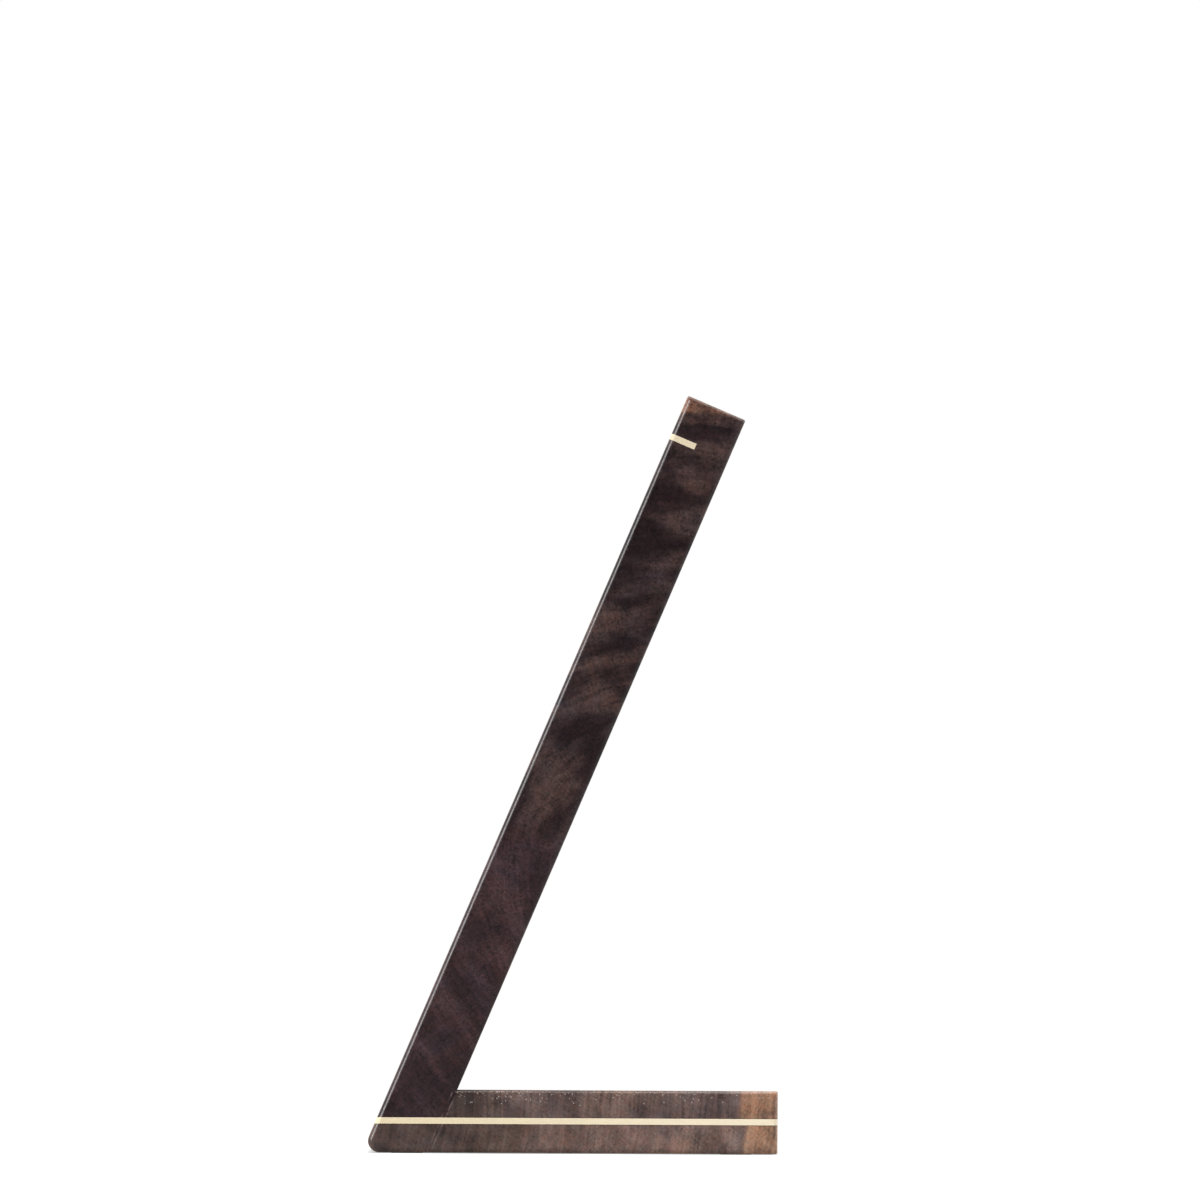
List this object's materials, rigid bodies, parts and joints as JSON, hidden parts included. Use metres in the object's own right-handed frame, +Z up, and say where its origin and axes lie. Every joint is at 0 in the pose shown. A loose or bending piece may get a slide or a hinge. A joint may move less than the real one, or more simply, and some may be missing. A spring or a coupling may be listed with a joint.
{
  "type": "magnetic knife rack",
  "caption": "Free-standing magnetic knife rack: a walnut plank leans back from a flat walnut base, with maple inlays and magnets hidden in the plank.",
  "frame": {"origin": "on the worktop, under the middle of the rack's outline", "axes": "+X across the rack, along the wood's fibres; +Y from the front, where the plank's toe is, to the rear; +Z up"},
  "size_m": [0.22, 0.1512, 0.2807],
  "materials": {
    "walnut_plank": "oiled dark walnut, satin",
    "walnut_base": "oiled walnut, satin",
    "maple": "oiled maple, satin",
    "magnet": "nickel-plated neodymium magnet",
    "keeper": "mild steel bar, as rolled",
    "foot": "pale translucent silicone rubber"
  },
  "bodies": {
    "root": {"front_leaf": "walnut_plank", "rear_leaf": "walnut_plank", "toe": "walnut_base", "base_upper_layer": "walnut_base", "base_lower_layer": "walnut_base", "maple_sheet": "maple", "maple_key": "maple", "front_keeper_bar_upper": "keeper", "front_magnet_upper_1": "magnet", "front_magnet_upper_2": "magnet", "front_magnet_upper_3": "magnet", "front_magnet_upper_4": "magnet", "front_magnet_upper_5": "magnet", "front_magnet_upper_6": "magnet", "front_keeper_bar_lower": "keeper", "front_magnet_lower_1": "magnet", "front_magnet_lower_2": "magnet", "front_magnet_lower_3": "magnet", "front_magnet_lower_4": "magnet", "front_magnet_lower_5": "magnet", "front_magnet_lower_6": "magnet", "rear_keeper_bar_upper": "keeper", "rear_magnet_upper_1": "magnet", "rear_magnet_upper_2": "magnet", "rear_magnet_upper_3": "magnet", "rear_magnet_upper_4": "magnet", "rear_magnet_upper_5": "magnet", "rear_magnet_upper_6": "magnet", "rear_keeper_bar_lower": "keeper", "rear_magnet_lower_1": "magnet", "rear_magnet_lower_2": "magnet", "rear_magnet_lower_3": "magnet", "rear_magnet_lower_4": "magnet", "rear_magnet_lower_5": "magnet", "rear_magnet_lower_6": "magnet", "foot_front_left": "foot", "foot_front_right": "foot", "foot_rear_left": "foot", "foot_rear_right": "foot"}
  },
  "joints": []
}
